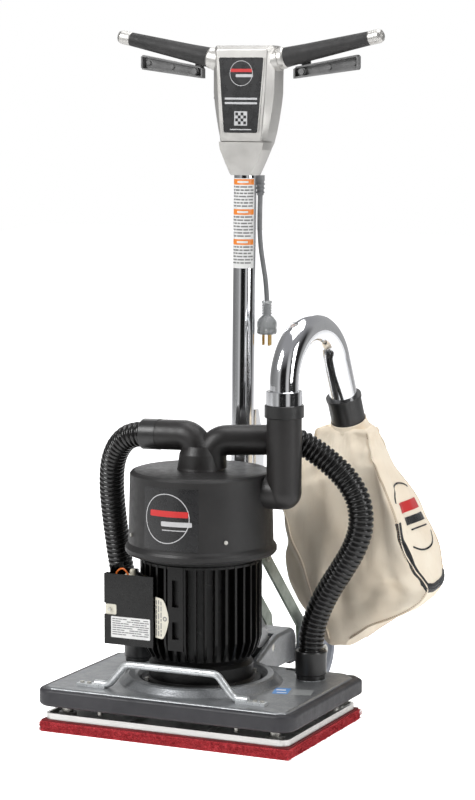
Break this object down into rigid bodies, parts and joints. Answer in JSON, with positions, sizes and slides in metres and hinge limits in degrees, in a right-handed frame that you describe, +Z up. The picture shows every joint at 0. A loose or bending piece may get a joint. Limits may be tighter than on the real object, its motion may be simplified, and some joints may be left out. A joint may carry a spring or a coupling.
{
  "type": "orbital floor sander",
  "caption": "Upright walk-behind floor sander with a flat rectangular orbiting pad, vertical motor, dust fan with hoses and cloth bag, tilting handle and transport wheels.",
  "frame": {"origin": "on the floor under the centre of the sanding pad", "axes": "+Z up, +Y to the rear where the operator stands, +X to the operator's right"},
  "size_m": [0.5899, 0.5695, 1.1645],
  "materials": {
    "pad_red": "coarse open non-woven fibre",
    "pad_backing": "matt",
    "plate_aluminium": "brushed edge",
    "bearing_steel": "ground",
    "zinc_steel": "bright zinc",
    "isolator_rubber": "matt",
    "deck_paint": "hammered grey paint",
    "bumper_rubber": "satin",
    "lift_silver": "satin silver paint",
    "motor_black": "satin black paint",
    "motor_steel": "laminated",
    "weight_iron": "as cast",
    "fan_plastic": "moulded",
    "shroud_black": "textured black",
    "box_black": "gloss black paint",
    "can_silver": "satin",
    "lead_orange": "insulation",
    "hose_black": "gloss black corrugated",
    "cuff_black": "satin",
    "chrome": "polished",
    "bag_canvas": "unbleached canvas",
    "wheel_grey": "satin",
    "strut_zinc": "dull zinc",
    "yoke_paint": "hammered grey paint",
    "head_silver": "satin silver",
    "bar_aluminium": "satin",
    "grip_rubber": "matt",
    "lever_grey": "moulded grey",
    "switch_black": "moulded",
    "cord_grey": "satin",
    "plug_clear": "clear moulded",
    "brass": "polished"
  },
  "bodies": {
    "base": {"isolator_studs": "zinc_steel", "isolator_rubbers": "isolator_rubber", "housing": "deck_paint", "bumper": "bumper_rubber", "lift_handle": "lift_silver", "fasteners": "zinc_steel", "motor_frame": "motor_black", "lower_end_bell": "motor_black", "upper_end_bell": "motor_black", "motor_bearings": "bearing_steel", "stator": "motor_steel", "fan_plates": "motor_steel", "fan_shroud": "shroud_black", "junction_box": "box_black", "junction_box_cover": "box_black", "capacitor": "can_silver", "motor_leads": "lead_orange", "intake_manifold": "shroud_black", "hose_cuffs": "cuff_black", "hose_left": "hose_black", "hose_right": "hose_black", "exhaust_stack": "shroud_black", "stack_clamp": "cuff_black", "axle": "zinc_steel", "pivot_pin": "zinc_steel"},
    "rotor": {"motor_shaft": "bearing_steel", "rotor_core": "motor_steel", "counterweight": "weight_iron", "cooling_fan": "fan_plastic", "dust_impeller": "fan_plastic"},
    "pad": {"sanding_pad": "pad_red", "pad_backing": "pad_backing", "pad_plate": "plate_aluminium", "pad_bearing": "bearing_steel"},
    "handle": {"handle_tube": "chrome", "handle_yoke": "yoke_paint", "slotted_guide": "chrome", "head_housing": "head_silver", "head_rear_cover": "head_silver", "power_switch": "switch_black", "handle_screws": "zinc_steel", "handlebars": "bar_aluminium", "grips": "grip_rubber", "lever_brackets": "lever_grey", "cord_gland": "cord_grey", "power_cord": "cord_grey", "plug_body": "plug_clear", "plug_blades": "brass"},
    "strut_arm": {"struts": "strut_zinc", "slide_bolt": "zinc_steel"},
    "lock_lever": {"lock_lever": "switch_black"},
    "lever_left": {"lever_left": "lever_grey"},
    "lever_right": {"lever_right": "lever_grey"},
    "safety_button": {"safety_button": "switch_black"},
    "wheel_left": {"wheel_left": "wheel_grey"},
    "wheel_right": {"wheel_right": "wheel_grey"},
    "bag_swivel": {"u_tube_collar": "chrome", "u_tube": "chrome", "bag_cuff": "cuff_black", "dust_bag": "bag_canvas"}
  },
  "joints": [
    {"name": "motor_spin", "type": "hinge", "parent": "base", "child": "rotor", "pos_m": [0, 0, 0.2], "axis": [0, 0, 1], "continuous": true},
    {"name": "pad_orbit", "type": "hinge", "parent": "rotor", "child": "pad", "pos_m": [0.0032, 0, 0.04], "axis": [0, 0, 1], "continuous": true},
    {"name": "handle_tilt", "type": "hinge", "parent": "base", "child": "handle", "pos_m": [0, 0.185, 0.1], "axis": [-1, 0, 0], "range_deg": [0, 40]},
    {"name": "strut_swing", "type": "hinge", "parent": "base", "child": "strut_arm", "pos_m": [0, 0.346, 0.066], "axis": [-1, 0, 0], "range_deg": [0, 46]},
    {"name": "lock_lever_turn", "type": "hinge", "parent": "strut_arm", "child": "lock_lever", "pos_m": [0, 0.191, 0.257], "axis": [1, 0, 0], "range_deg": [0, 90]},
    {"name": "wheel_left_spin", "type": "hinge", "parent": "base", "child": "wheel_left", "pos_m": [0, 0.346, 0.066], "axis": [1, 0, 0], "continuous": true},
    {"name": "wheel_right_spin", "type": "hinge", "parent": "base", "child": "wheel_right", "pos_m": [0, 0.346, 0.066], "axis": [1, 0, 0], "continuous": true},
    {"name": "lever_left_squeeze", "type": "hinge", "parent": "handle", "child": "lever_left", "pos_m": [-0.1, 0.19, 1.094], "axis": [0, 1, 0], "range_deg": [0, 5], "stiffness_Nm_per_rad": 2, "springref_deg": -5.73},
    {"name": "lever_right_squeeze", "type": "hinge", "parent": "handle", "child": "lever_right", "pos_m": [0.1, 0.19, 1.094], "axis": [0, -1, 0], "range_deg": [0, 5], "stiffness_Nm_per_rad": 2, "springref_deg": -5.73},
    {"name": "safety_button_press", "type": "slide", "parent": "handle", "child": "safety_button", "axis": [1, 0, 0], "range_m": [0, 0.002], "stiffness_N_per_m": 300, "springref_m": -0.002},
    {"name": "bag_swivel_turn", "type": "hinge", "parent": "base", "child": "bag_swivel", "pos_m": [0.148, 0.008, 0.55], "axis": [0, 0, -1], "range_deg": [0, 15]}
  ],
  "couplings": [
    {"joint": "pad_orbit", "follows": "motor_spin", "ratio": -1},
    {"joint": "strut_swing", "follows": "handle_tilt", "ratio": 1.15}
  ]
}
